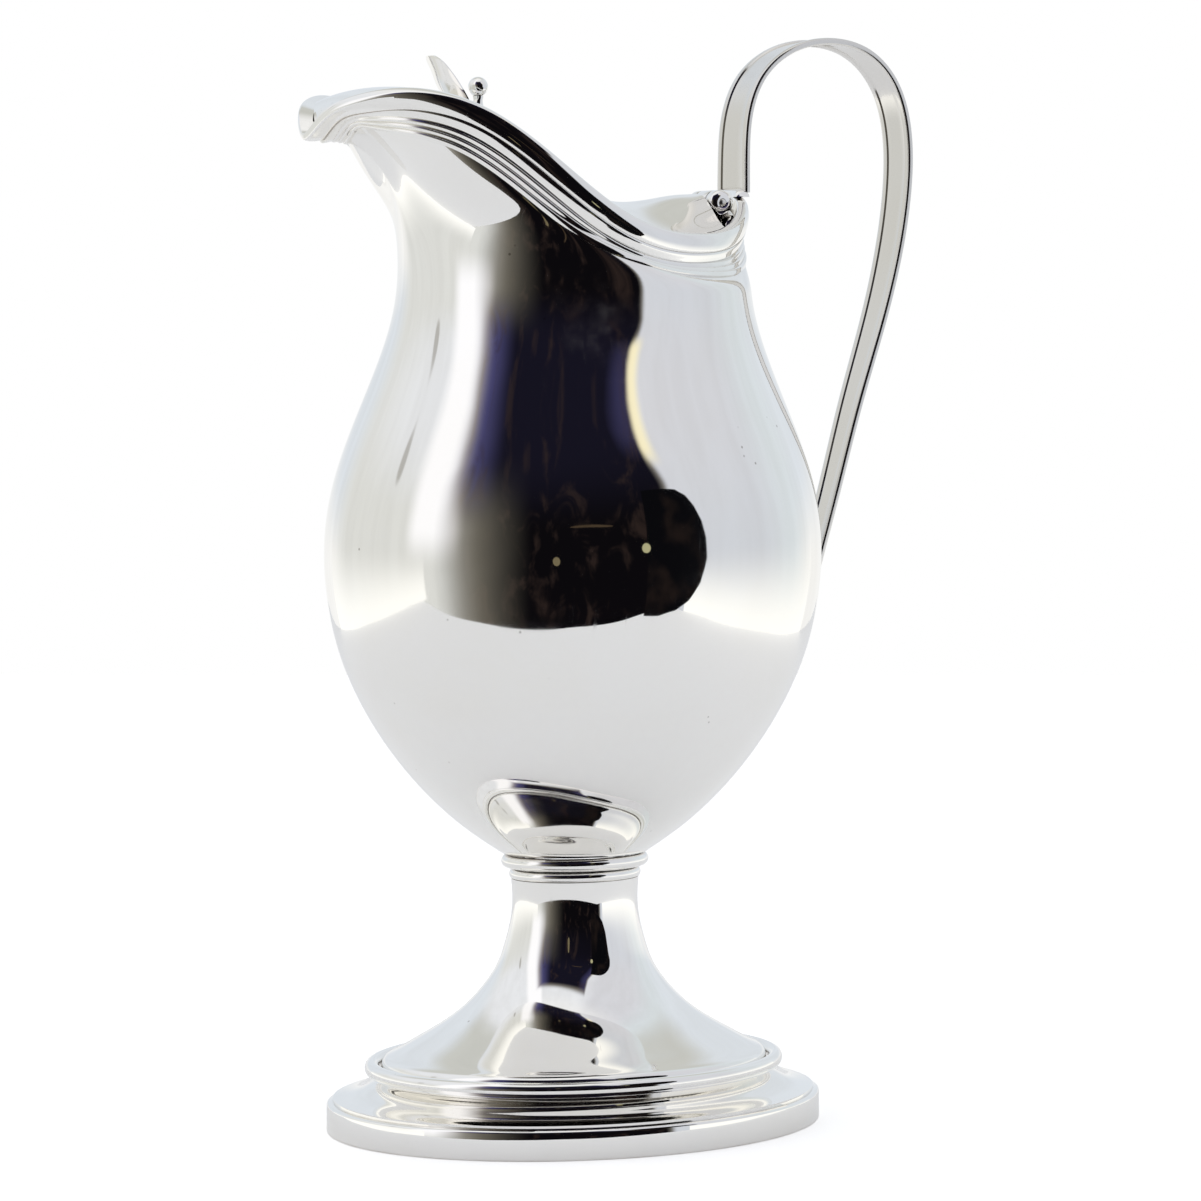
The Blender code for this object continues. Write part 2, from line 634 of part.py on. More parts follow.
def main():
    clear_scene()
    group = collection("covered_silver_jug")
    bright = silver("polished_silver", (0.93, 0.92, 0.90), 0.06)
    soft = silver("worn_silver", (0.90, 0.89, 0.86), 0.14)
    pin = silver("pin_silver", (0.78, 0.77, 0.74), 0.25)
    build_body(bright, group)
    build_bead(bright, group)
    build_reeded_band(bright, group)
    build_lid_seats(soft, group)
    build_lid(bright, group)
    build_lid_flanges(soft, group)
    build_hinge(bright, pin, group)
    build_hinge_plate(bright, group)
    build_hinge_leaf(bright, group)
    build_finial(bright, group)
    build_finial_leaf(bright, group)
    build_strap(bright, group)
    build_handle_saddle(bright, group)
    build_handle_pad(bright, group)
    build_collars(bright, group)
    build_foot(bright, group)


main()
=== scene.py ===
"""Looks of the covered silver jug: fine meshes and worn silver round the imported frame.

It stands on a pale table in a light tent. The silver also mirrors a dark room drawn in front of it,
with panels and lamps that the camera never sees, as set dressing.

Metres, +Z up, in the frame's own axes. Shape sizes below are in millimetres from the foot's axis,
as in the jug's design, with the lip towards -X and the handle towards +X.
"""
import json
import math

import bmesh
import bpy
import numpy as np
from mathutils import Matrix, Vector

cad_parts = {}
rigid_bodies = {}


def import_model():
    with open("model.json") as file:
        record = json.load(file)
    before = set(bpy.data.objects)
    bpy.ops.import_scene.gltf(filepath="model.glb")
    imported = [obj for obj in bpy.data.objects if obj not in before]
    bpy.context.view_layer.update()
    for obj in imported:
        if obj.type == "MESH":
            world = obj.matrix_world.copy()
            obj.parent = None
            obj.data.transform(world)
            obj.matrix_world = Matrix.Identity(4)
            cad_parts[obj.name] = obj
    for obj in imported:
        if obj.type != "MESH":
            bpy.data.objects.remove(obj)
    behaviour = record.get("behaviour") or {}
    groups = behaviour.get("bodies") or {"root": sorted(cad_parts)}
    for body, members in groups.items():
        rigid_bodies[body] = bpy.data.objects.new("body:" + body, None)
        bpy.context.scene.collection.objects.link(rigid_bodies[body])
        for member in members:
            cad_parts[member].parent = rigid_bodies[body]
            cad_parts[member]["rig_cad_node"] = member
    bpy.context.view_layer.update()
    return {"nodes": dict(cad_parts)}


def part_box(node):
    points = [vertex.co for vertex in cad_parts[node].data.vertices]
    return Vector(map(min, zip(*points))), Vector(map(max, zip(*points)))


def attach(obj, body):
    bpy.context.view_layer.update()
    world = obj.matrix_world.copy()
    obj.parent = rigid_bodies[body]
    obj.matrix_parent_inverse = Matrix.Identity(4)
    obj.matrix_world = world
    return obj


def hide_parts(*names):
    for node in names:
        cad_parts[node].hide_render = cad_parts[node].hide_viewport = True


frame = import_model()

MM = 0.001
TRIM = (0.9994, 0.9996, 0.9999)  # holds every piece just inside the CAD box
foot_low, foot_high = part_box("foot_flange")
FOOT_AXIS_X = (foot_low.x + foot_high.x) / 2 / MM
OVAL = 0.80
WALL = 1.2
BOWL_BOTTOM_Z = 74.1
NECK_Z = 226.0
NECK_PROBE = 0.5
BOWL_HALF_LENGTH = [(74.1, 20.8), (80.0, 29.8), (88.0, 39.6), (99.0, 49.9), (111.0, 58.4),
                    (126.4, 66.0), (142.8, 70.3), (159.2, 71.3), (175.6, 68.7), (192.1, 62.8),
                    (208.5, 56.0), (219.5, 52.4), (228.0, 50.9), (240.0, 50.7)]

MOUTH_X = -15.5
MOUTH_HALF_LENGTH = 67.5
MOUTH_HALF_WIDTH = 39.0
LIP_NARROWING = 0.12
NARROWING_POWER = 6
MOUTH_HEIGHT = [(-26, 277.8), (-14, 273.6), (0, 267.6), (14, 273.6), (26, 277.8), (40, 280.0),
                (53, 278.7), (64, 274.4), (75, 266.8), (87, 256.6), (98, 248.6), (110, 244.0),
                (123, 243.0), (140, 245.0), (160, 251.0), (180, 254.6), (200, 251.0)]
LIP_SPREAD = 38.0
LIP_FLARE = 90.0
LIP_DROP = 0.4
SIDE_FLARE = 3.0

BEAD_PROUD = 2.2
BEAD_DEPTH = 5.5
# (distance down from the top line, distance out from the wall) round the bead's outer face
BEAD_SECTION = [(0.35, -1.2), (0.12, -1.0), (0.0, -0.6), (0.0, 0.2), (0.05, 0.7), (0.15, 1.2), (0.3, 1.58),
                (0.6, 1.86), (1.1, 1.99), (1.6, 2.13), (2.2, 2.2), (2.8, 2.2), (3.4, 2.15), (4.0, 2.05),
                (4.6, 1.9), (5.15, 1.72), (5.45, 1.5), (5.5, -1.2)]
# the same, down from the wall's edge, for the sloping band under the bead
BAND_SECTION = [(0.0, 1.35), (0.05, 1.55), (0.2, 1.62), (0.8, 1.47), (1.5, 1.22), (2.1, 0.96), (2.6, 0.72),
                (2.9, 0.5)]
REEDS_TOP = 3.0
REED_PITCH = 1.7
REED_PROUD = 1.0
GROOVE_PROUD = 0.5
# (share of the pitch, share of the rise) over one reed, whose lower side is the long one
REED_SECTION = [(0.05, 0.35), (0.12, 0.68), (0.2, 0.9), (0.3, 1.0), (0.42, 0.96), (0.56, 0.76), (0.7, 0.5),
                (0.84, 0.24), (0.94, 0.07), (1.0, 0.0)]

HINGE_X = 43.3
HINGE_Z = 252.0
KNUCKLE_RADIUS = 3.6
KNUCKLE_BORE = 1.25
KNUCKLE_EDGE = 0.35
# (piece, length, middle across the jug, CAD node, body)
KNUCKLES = [("silver_knuckle_cover", 6.0, 0.0, "hinge_knuckle_lid", "cover"),
            ("silver_knuckle_left", 3.6, -5.1, "hinge_knuckle_left", "jug"),
            ("silver_knuckle_right", 3.6, 5.1, "hinge_knuckle_right", "jug")]
PIN_HALF_LENGTH = 7.2
PIN_RADIUS = 1.27
PLATE_THICK = 1.2
PLATE_CLEARANCE = 0.05
LID_BACK_X = 39.3
LID_THICK = 1.2
LID_MIDDLE_X = -15.0
LID_EDGE_DEPTH = 4.0
LID_EDGE_INSET = 1.8
LID_RISE = [(-79.0, 0.0), (-60.0, 3.6), (-45.0, 8.2), (-30.0, 12.8), (-15.0, 13.7), (0.0, 12.4),
            (12.0, 11.6), (24.0, 12.4), (33.0, 12.2), (39.3, 10.1)]
LID_SECTION = [(-79.0, 1.2), (-30.0, 1.4), (10.0, 2.2), (39.3, 2.6)]

FINIAL_X = -30.3
FINIAL_BALL_Z = 282.5
FINIAL_BALL_RADIUS = 2.7
LEAF_LINE = [(0.0, -38.6), (0.3, -41.6), (0.65, -43.6), (1.0, -45.6)]
LEAF_HALF_WIDTH = [(0.0, 5.6), (0.3, 6.4), (0.7, 4.9), (0.92, 3.5), (1.0, 2.2)]
LEAF_CUP = [(0.0, 3.2), (0.5, 2.2), (1.0, 0.5)]
LEAF_TIP_Z = 290.4
LEAF_THICK = 1.0

STRAP_THICK = 2.0
STRAP_PATH = [(51.2, 257.2), (51.3, 266.0), (52.4, 277.0), (57.0, 287.5), (67.0, 295.3),
              (80.5, 298.0), (93.0, 295.0), (101.8, 286.5), (106.0, 274.0), (106.2, 257.0),
              (103.2, 238.5), (98.2, 220.0), (90.6, 197.0), (83.2, 172.0), (76.8, 151.0),
              (71.6, 133.5), (69.5, 126.0)]
STRAP_WIDTH = [(0.0, 15.0), (0.25, 13.4), (0.5, 12.6), (0.75, 10.4), (1.0, 9.0)]
REED_WIDTH = 2.6  # the strap's edge reeds
STRAP_FIELD = 0.42
STRAP_FOOT = 2.2  # how far the strap runs down into the saddle

SADDLE_HALF_ANGLE = 12.4
SADDLE_RISE = 2.5
PAD_LOW_Z = 112.0
PAD_HEIGHT = 15.5
PAD_THICK = 1.5

COLLAR_UPPER = (1.75, 19.4, 72.0)  # radius, distance from the axis, height
COLLAR_LOWER_LINE = [(17.4, 66.95), (18.5, 67.4), (18.9, 68.4), (18.5, 69.5), (17.2, 70.3)]

FOOT_LINE = [(18.3, 67.1), (18.0, 60.6), (18.7, 55.0), (20.1, 49.7), (22.1, 44.2), (25.7, 38.7),
             (30.8, 33.3), (38.3, 27.8), (46.4, 23.3), (52.2, 20.4), (54.6, 19.0), (55.2, 16.6),
             (55.8, 14.1), (58.2, 12.4), (61.4, 10.7), (65.6, 9.5), (68.8, 9.0)]
FOOT_WALL = 1.2
FOOT_WIRE = (2.1, 57.8, 16.7)  # radius, distance from the axis, height
FLANGE_OUTLINE = [(64.0, 0.0), (70.1, 0.0), (70.45, 0.12), (70.6, 0.45), (70.6, 7.2), (70.45, 7.6),
                  (70.1, 7.85), (67.4, 7.85), (67.4, 1.6), (64.0, 1.6)]

CAMERA_AZIMUTH = -30.0
CAMERA_DISTANCE = 1.2321
CAMERA_HEIGHT = 0.2163
CAMERA_LENS = 134.9
SHIFT_X = 0.02123
SHIFT_Y = -0.2240

RUB_CENTRE = (-0.032, -0.040, 0.221)
RECESS_REACH = 0.0011
# (turn of the hairlines in degrees, their scale)
HAIRLINES = [((12, 25, 40), 900), ((70, -30, 110), 800), ((-35, 60, 10), 1000), ((20, 80, -60), 700)]

TABLE_FRONT = 0.37
TABLE_BACK = -1.6
TABLE_HALF_WIDTH = 0.47
CARD_HEIGHT = 0.17
CARD_BACK = -0.5
# (panel, metres to the camera's right, metres towards the camera that its front reaches)
SIDE_CARDS = [("side_card_left", -0.47, 0.40), ("side_card_right", 0.47, 0.27)]

BYSTANDER_REACH = 0.30
# (turn to the camera's right in degrees, height in metres) round the dark shape
BYSTANDER_OUTLINE = [(42, 0.062), (48, 0.062), (54, 0.070), (59, 0.086), (63, 0.112), (65.5, 0.148),
                     (65.3, 0.178), (64, 0.204), (61.5, 0.228), (58.5, 0.246), (55, 0.258),
                     (50, 0.262), (42, 0.262)]
LAMP_REACH = 0.295
# (turn in degrees, height, half width, half height, colour)
FAR_LAMPS = [(9.0, 0.148, 0.0075, 0.0075, (0.17, 0.14, 0.08)),
             (41.5, 0.167, 0.0085, 0.0085, (0.42, 0.40, 0.23)),
             (22.0, 0.206, 0.040, 0.0022, (0.060, 0.042, 0.026))]


# ---------------------------------------------------------------- shapes

def spline(knots, at):
    """Smooth cubic through (position, value) knots, with no bend at its two ends."""
    x, y = np.array(knots, float).T
    at = np.asarray(at, float)
    h = np.diff(x)
    rows = np.eye(len(x))
    turn = np.zeros(len(x))
    for i in range(1, len(x) - 1):
        rows[i, i - 1:i + 2] = h[i - 1], 2 * (h[i - 1] + h[i]), h[i]
        turn[i] = 6 * ((y[i + 1] - y[i]) / h[i] - (y[i] - y[i - 1]) / h[i - 1])
    m = np.linalg.solve(rows, turn)
    i = np.clip(np.searchsorted(x, at) - 1, 0, len(x) - 2)
    lo, hi = x[i + 1] - at, at - x[i]
    bend = (m[i] * lo ** 3 + m[i + 1] * hi ** 3) / (6 * h[i])
    return bend + (y[i] / h[i] - m[i] * h[i] / 6) * lo + (y[i + 1] / h[i] - m[i + 1] * h[i] / 6) * hi


def unit(vectors):
    return vectors / np.linalg.norm(vectors, axis=-1, keepdims=True)


def dot(a, b):
    return np.sum(a * b, axis=-1)


def full_turn(count):
    return np.arange(count) * 2 * math.pi / count


def smooth_line(points, count):
    """Open outline through the points, evenly spaced along its length."""
    pts = np.array(points, float)
    at = np.concatenate([[0], np.cumsum(np.linalg.norm(np.diff(pts, axis=0), axis=1))])
    even = np.linspace(0, at[-1], count)
    return [tuple(p) for p in np.stack([spline(list(zip(at, pts[:, k])), even) for k in (0, 1)], axis=1)]


def add_piece(name, mesh, mat, nodes, body="jug", sharp=35):
    """Put a finished mesh in the scene in place of its CAD nodes."""
    obj = bpy.data.objects.new(name, mesh)
    bpy.context.scene.collection.objects.link(obj)
    mesh.materials.append(mat)
    mesh.shade_smooth()
    mesh.set_sharp_from_angle(angle=math.radians(sharp))
    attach(obj, body)
    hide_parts(*nodes)
    return obj


def add_point(bm, point):
    place = (point[0] + FOOT_AXIS_X, point[1], point[2])
    return bm.verts.new([value * MM * trim for value, trim in zip(place, TRIM)])


def loft_mesh(name, rings, loop=False, pole=False):
    """Skin over closed rings. loop joins the last to the first, pole closes the first on its own
    middle and leaves the last open. Otherwise both ends are capped by fans."""
    rings = [np.asarray(r, float) for r in rings]
    count = len(rings[0])
    mesh = bpy.data.meshes.new(name)
    bm = bmesh.new()
    rows = [[add_point(bm, p) for p in ring] for ring in rings]
    pairs = list(zip(rows[:-1], rows[1:]))
    if loop:
        pairs.append((rows[-1], rows[0]))
    for low, high in pairs:
        for i in range(count):
            j = (i + 1) % count
            bm.faces.new((low[i], low[j], high[j], high[i]))
    ends = [] if loop else ([0] if pole else [0, -1])
    for end in ends:
        tip = add_point(bm, rings[end].mean(axis=0))
        for i in range(count):
            j = (i + 1) % count
            pair = (rows[end][j], rows[end][i]) if end == 0 else (rows[end][i], rows[end][j])
            bm.faces.new((*pair, tip))
    if not pole:
        bmesh.ops.recalc_face_normals(bm, faces=bm.faces)
    bm.to_mesh(mesh)
    bm.free()
    return mesh


def strip_mesh(name, tracks, loop=False):
    """Loft whose section's corners each run along a track."""
    return loft_mesh(name, [[track[i] for track in tracks] for i in range(len(tracks[0]))], loop=loop)


def turned_mesh(name, outline, steps=128, at=(0, 0, 0), oval=1.0, across=False, closed=True):
    """Turn a (radius, height) outline round Z, or round Y when across is set."""
    rings = []
    for angle in full_turn(steps):
        ring = []
        for r, z in outline:
            p = (r * math.cos(angle), r * math.sin(angle) * oval, z)
            ring.append((p[0], p[2], p[1]) if across else p)
        rings.append(np.array(ring) + np.array(at))
    mesh = bpy.data.meshes.new(name)
    bm = bmesh.new()
    rows = [[add_point(bm, p) for p in ring] for ring in rings]
    count = len(outline)
    for k in range(steps):
        low, high = rows[k], rows[(k + 1) % steps]
        for i in range(count if closed else count - 1):
            j = (i + 1) % count
            bm.faces.new((low[i], low[j], high[j], high[i]))
    bmesh.ops.remove_doubles(bm, verts=bm.verts, dist=1e-6)
    bmesh.ops.dissolve_degenerate(bm, edges=bm.edges, dist=1e-7)
    bmesh.ops.recalc_face_normals(bm, faces=bm.faces)
    bm.to_mesh(mesh)
    bm.free()
    return mesh


# ---------------------------------------------------------------- the jug's own surfaces

def from_lip(angle):
    """Degrees round from the lip, either way."""
    return np.abs((np.degrees(angle) + 180) % 360 - 180)


def lip_weight(angle):
    """1 at the lip, falling to 0 round the sides and back."""
    return np.exp(-(from_lip(angle) / LIP_SPREAD) ** 2)


def slimming(angle):
    """Like lip_weight, but held close to the very tip of the lip."""
    return (lip_weight(angle) ** 3)[:, None]


def lip_taper(angle):
    """Share of its half width that the mouth keeps towards the tip of the lip."""
    return 1 - LIP_NARROWING * np.clip(np.cos(angle), 0, 1) ** NARROWING_POWER


def mouth_line(angle, inset=0.0):
    """The mouth's oval at the top of the rim, moved inwards by inset."""
    x = MOUTH_X - (MOUTH_HALF_LENGTH - inset) * np.cos(angle)
    y = -(MOUTH_HALF_WIDTH - inset) * np.sin(angle) * lip_taper(angle)
    return np.stack([x, y, spline(MOUTH_HEIGHT, from_lip(angle))], axis=-1)


def top_line(angle):
    """Top of the bead, above the wall's outer face."""
    lip = lip_weight(angle)
    line = mouth_line(angle)
    line[..., 0] += BEAD_PROUD * (1 - lip) * np.cos(angle)
    line[..., 1] += BEAD_PROUD * np.sin(angle) * lip_taper(angle)
    line[..., 2] -= LIP_DROP * lip
    return line


def flare_direction(angle):
    """Way the wall is heading where it ends under the rim bead."""
    out = unit(np.stack([-MOUTH_HALF_WIDTH * np.cos(angle), -MOUTH_HALF_LENGTH * np.sin(angle),
                         np.zeros_like(angle)], axis=-1))
    lean = np.radians(SIDE_FLARE + (LIP_FLARE - SIDE_FLARE) * lip_weight(angle))[..., None]
    return out * np.sin(lean) + np.array([0.0, 0.0, 1.0]) * np.cos(lean)


def mouth_frame(angle):
    """Top line, the way down the wall square to it, and the outward normal."""
    along = unit(top_line(angle + 0.01) - top_line(angle - 0.01))
    up = flare_direction(angle)
    up = unit(up - along * np.sum(up * along, axis=-1, keepdims=True))
    return top_line(angle), -up, np.cross(along, up)


def bowl_ring(angle, height):
    half = float(spline(BOWL_HALF_LENGTH, height))
    return np.stack([-half * np.cos(angle), -half * OVAL * np.sin(angle),
                     np.full_like(angle, height)], axis=-1)


def neck_wall(angle, climb):
    """Outer face of the wall from the neck (climb 0) to its edge under the bead (climb 1)."""
    low = bowl_ring(angle, NECK_Z)
    over, under = (bowl_ring(angle, NECK_Z + side * NECK_PROBE) for side in (1, -1))
    top, down, _ = mouth_frame(angle)
    high = top + down * BEAD_DEPTH
    reach = np.linalg.norm(high - low, axis=-1, keepdims=True)
    slope = (over - under) / (2 * NECK_PROBE) * reach
    bend = (over + under - 2 * low) / NECK_PROBE ** 2 * reach ** 2
    lean = flare_direction(angle) * reach
    s = np.asarray(climb)[..., None]
    return (low * (1 - 10 * s ** 3 + 15 * s ** 4 - 6 * s ** 5)
            + slope * (s - 6 * s ** 3 + 8 * s ** 4 - 3 * s ** 5)
            + bend * (s ** 2 - 3 * s ** 3 + 3 * s ** 4 - s ** 5) / 2
            + lean * (-4 * s ** 3 + 7 * s ** 4 - 3 * s ** 5)
            + high * (10 * s ** 3 - 15 * s ** 4 + 6 * s ** 5))


def wall_slopes(turn, climb):
    """Point on the wall, and how it moves with the turn and with the climb."""
    here = neck_wall(turn, climb)
    by_turn = (neck_wall(turn + 0.002, climb) - neck_wall(turn - 0.002, climb)) / 0.004
    by_climb = (here - neck_wall(turn, climb - 0.004)) / 0.004
    return here, by_turn, by_climb


def wall_walk(angle, distances, stride=0.35):
    """Walk down the wall's outer face from its edge, square to the mouth. For each distance gives
    the point reached and the outward normal there."""
    turn = np.array(angle, float)
    climb = np.ones_like(turn)
    _, down, _ = mouth_frame(turn)
    gone = 0.0
    found = []
    for target in distances:
        here, by_turn, by_climb = wall_slopes(turn, climb)
        while target - gone > 1e-6:
            step = min(stride, target - gone)
            normal = unit(np.cross(by_turn, by_climb))
            down = unit(down - normal * dot(down, normal)[:, None])
            tt, tc, cc = dot(by_turn, by_turn), dot(by_turn, by_climb), dot(by_climb, by_climb)
            dt, dc = dot(down, by_turn), dot(down, by_climb)
            turn = turn + step * (dt * cc - dc * tc) / (tt * cc - tc * tc)
            climb = climb + step * (dc * tt - dt * tc) / (tt * cc - tc * tc)
            gone += step
            here, by_turn, by_climb = wall_slopes(turn, climb)
        found.append((here, unit(np.cross(by_turn, by_climb))))
    return found


def lid_edge(angle):
    """Lower edge of the cover, just inside the bead."""
    top, down, normal = mouth_frame(angle)
    return top + down * LID_EDGE_DEPTH - normal * (LID_EDGE_INSET + 0.9 * slimming(angle))


LID_EDGE_TABLE = lid_edge(np.linspace(0, 0.95 * math.pi, 600))


def lid_under(x, y):
    """Height of the cover's lower face: a ridge that falls away in a bell to the edge on each side."""
    edge = LID_EDGE_TABLE
    half = np.sqrt(np.interp(x, edge[:, 0], edge[:, 1] ** 2))
    low = np.interp(x, edge[:, 0], edge[:, 2])
    fall = np.clip(1 - (y / np.maximum(half, 0.01)) ** 2, 0, 1)
    return low + spline(LID_RISE, x) * fall ** spline(LID_SECTION, x)


def lid_outline(count_side, count_back):
    """Points round the cover's edge: the mouth's line, then the straight back edge at the hinge."""
    angle = np.linspace(0.5 * math.pi, 0.95 * math.pi, 300)
    limit = float(np.interp(LID_BACK_X, lid_edge(angle)[:, 0], angle))
    edge = lid_edge(np.linspace(-limit, limit, count_side + 1))
    y = np.linspace(edge[-1, 1], edge[0, 1], count_back + 1)[1:-1]
    back = np.stack([np.full_like(y, LID_BACK_X), y], axis=-1)
    return np.concatenate([edge[:, :2], back])


def lid_ring(outline, share):
    x = LID_MIDDLE_X + share * (outline[:, 0] - LID_MIDDLE_X)
    y = share * outline[:, 1]
    return np.stack([x, y, lid_under(x, y)], axis=-1)


# ---------------------------------------------------------------- pieces

def build_body(mat, around=256):
    angle = full_turn(around)
    rings = [bowl_ring(angle, BOWL_BOTTOM_Z) * np.array([f, f, 1.0]) for f in (0.3, 0.6, 0.85)]
    rings += [bowl_ring(angle, h) for h in (BOWL_BOTTOM_Z, 74.7, 75.6, 76.8, 78.4, 80.4)]
    rings += [bowl_ring(angle, h) for h in np.linspace(82.5, NECK_Z, 58)]
    rings += [neck_wall(angle, c) for c in np.linspace(0, 1, 30)[1:]]
    mesh = loft_mesh("silver_body", rings, pole=True)
    obj = add_piece("silver_body", mesh, mat, ["body"])
    shell = obj.modifiers.new("sheet", "SOLIDIFY")
    shell.thickness = WALL * MM
    shell.offset = -1.0
    shell.use_even_offset = True


def build_bead(mat, around=360):
    angle = full_turn(around)
    top, down, normal = mouth_frame(angle)
    slim = slimming(angle)
    tracks = []
    for drop, out in smooth_line(BEAD_SECTION, 30):
        tracks.append(top + down * drop + normal * (out * (1 - 0.35 * slim) - 0.9 * slim))
    add_piece("silver_rim_bead", strip_mesh("silver_rim_bead", tracks, loop=True), mat, ["rim_bead"])


def band_section():
    """(distance down the wall, distance proud of it) across the sloping band and its three reeds."""
    section = list(BAND_SECTION)
    for reed in range(3):
        top = REEDS_TOP + reed * REED_PITCH
        for s, rise in REED_SECTION:
            section.append((top + s * REED_PITCH, GROOVE_PROUD + (REED_PROUD - GROOVE_PROUD) * rise))
    return section


def build_reeded_band(mat, around=320):
    section = band_section()
    angle = full_turn(around)
    slim = 1 - 0.4 * slimming(angle)
    walk = wall_walk(angle, [down for down, _ in section])
    tracks = [here + normal * out * slim for (here, normal), (_, out) in zip(walk, section)]
    tracks += [here - normal * 0.2 for here, normal in walk[::-5]]
    mesh = strip_mesh("silver_reeded_band", tracks, loop=True)
    add_piece("silver_reeded_band", mesh, mat, ["rim_reeded_band"], sharp=50)


def build_lid(mat):
    outline = lid_outline(220, 48)
    shares = (1 - (1 - np.linspace(0.02, 1, 40)) ** 1.15)
    shares[-1] = 1.0
    lower = [lid_ring(outline, share) for share in shares]
    upper = [ring + np.array([0.0, 0.0, LID_THICK]) for ring in lower]
    mesh = loft_mesh("silver_cover", lower + upper[::-1])
    add_piece("silver_cover", mesh, mat, ["lid"], "cover")


def build_hinge(mat, pin_mat):
    edge = KNUCKLE_EDGE
    for name, length, y, node, body in KNUCKLES:
        half = length / 2
        outline = [(KNUCKLE_BORE, -half), (KNUCKLE_RADIUS - edge, -half),
                   (KNUCKLE_RADIUS - 0.1, -half + 0.1), (KNUCKLE_RADIUS, -half + edge),
                   (KNUCKLE_RADIUS, half - edge), (KNUCKLE_RADIUS - 0.1, half - 0.1),
                   (KNUCKLE_RADIUS - edge, half), (KNUCKLE_BORE, half)]
        if y:  # the barrel's outer ends are domed
            dome = [(KNUCKLE_RADIUS - 1.9 * (1 - math.cos(a)), half - 1.5 * (1 - math.sin(a)))
                    for a in np.linspace(0, math.pi / 2, 9)]
            outline = outline[:4] + dome + [(KNUCKLE_BORE, half)]
            outline = [(r, z if y > 0 else -z) for r, z in outline]
        mesh = turned_mesh(name, outline, 72, (HINGE_X, y, HINGE_Z), across=True)
        add_piece(name, mesh, mat, [node], body, sharp=30)
    end = PIN_HALF_LENGTH
    pin = [(0, -end), (0.7, -end + 0.06), (1.1, -end + 0.2), (PIN_RADIUS, -end + 0.45),
           (PIN_RADIUS, end - 0.45), (1.1, end - 0.2), (0.7, end - 0.06), (0, end)]
    mesh = turned_mesh("silver_hinge_pin", pin, 48, (HINGE_X, 0, HINGE_Z), across=True, closed=False)
    add_piece("silver_hinge_pin", mesh, pin_mat, ["hinge_pin"])


def build_hinge_plate(mat):
    clear = KNUCKLE_RADIUS + PLATE_CLEARANCE
    front_x = LID_BACK_X + 0.5
    angle = np.linspace(0.5 * math.pi, 0.95 * math.pi, 300)
    limit = float(np.interp(front_x + 0.6, lid_edge(angle)[:, 0], angle))
    back = lid_edge(np.linspace(limit, 2 * math.pi - limit, 64))
    rings = []
    for x, y, z in back:
        top = []
        for share in np.linspace(0, 1, 24):
            px = front_x + (x - front_x) * share
            level = back[0, 2] + (z - 0.3 - back[0, 2]) * share + 0.2
            dip = HINGE_Z - math.sqrt(max(clear ** 2 - (px - HINGE_X) ** 2, 0.0))
            top.append((px, y, min(level, dip)))
        rings.append(top + [(px, y, pz - PLATE_THICK) for px, y, pz in top[::-1]])
    add_piece("silver_hinge_plate", loft_mesh("silver_hinge_plate", rings), mat, ["hinge_plate"])


def build_finial(mat):
    angle = full_turn(64)
    level = FINIAL_BALL_Z - FINIAL_BALL_RADIUS + 0.25
    rings = []
    for radius, rise in ((3.0, -0.1), (3.15, 0.04), (2.95, 0.14), (2.4, 0.26), (1.75, 0.42),
                         (1.4, 0.6), (1.3, 0.78), (1.45, 0.92), (1.5, 1.0)):
        x = FINIAL_X + radius * np.cos(angle)
        y = radius * np.sin(angle)
        floor = lid_under(x, y) + LID_THICK
        rings.append(np.stack([x, y, floor + (level - floor) * rise], axis=-1))
    add_piece("silver_finial_stem", loft_mesh("silver_finial_stem", rings), mat, ["finial_stem"], "cover")
    arc = np.linspace(0, math.pi, 40)
    ball = [(FINIAL_BALL_RADIUS * abs(math.sin(a)), -FINIAL_BALL_RADIUS * math.cos(a)) for a in arc]
    ball[0] = (0, -FINIAL_BALL_RADIUS)
    ball[-1] = (0, FINIAL_BALL_RADIUS)
    mesh = turned_mesh("silver_finial_ball", ball, 72, (FINIAL_X, 0, FINIAL_BALL_Z), closed=False)
    add_piece("silver_finial_ball", mesh, mat, ["finial_ball"], "cover")


def build_finial_leaf(mat, rows=44, across=31):
    rings = []
    for f in np.linspace(-0.06, 1, rows):
        half = float(spline(LEAF_HALF_WIDTH, max(f, 0)))
        cup = float(spline(LEAF_CUP, max(f, 0)))
        s = np.linspace(-1, 1, across)
        front_x = float(spline(LEAF_LINE, max(f, 0))) + cup * s ** 2
        y = s * half
        thick = LEAF_THICK * (1 - 0.35 * max(f, 0)) * (1 - 0.45 * s ** 4)
        face = []
        for x in (front_x, front_x + thick):
            floor = lid_under(x, y) + LID_THICK
            face.append(np.stack([x, y, floor + (LEAF_TIP_Z - floor) * f], axis=-1))
        rings.append(np.concatenate([face[0], face[1][::-1]]))
    add_piece("silver_finial_leaf", loft_mesh("silver_finial_leaf", rings), mat, ["finial_leaf"], "cover")


def strap_frames(count):
    """Evenly spaced points on the strap's middle line, with the way across its thickness."""
    knots = np.array(STRAP_PATH)
    at = np.concatenate([[0], np.cumsum(np.linalg.norm(np.diff(knots, axis=0), axis=1))])
    even = np.linspace(0, at[-1], count)
    x = spline(list(zip(at, knots[:, 0])), even)
    z = spline(list(zip(at, knots[:, 1])), even)
    dx, dz = np.gradient(x, even), np.gradient(z, even)
    size = np.hypot(dx, dz)
    return even / at[-1], x, z, -dz / size, dx / size


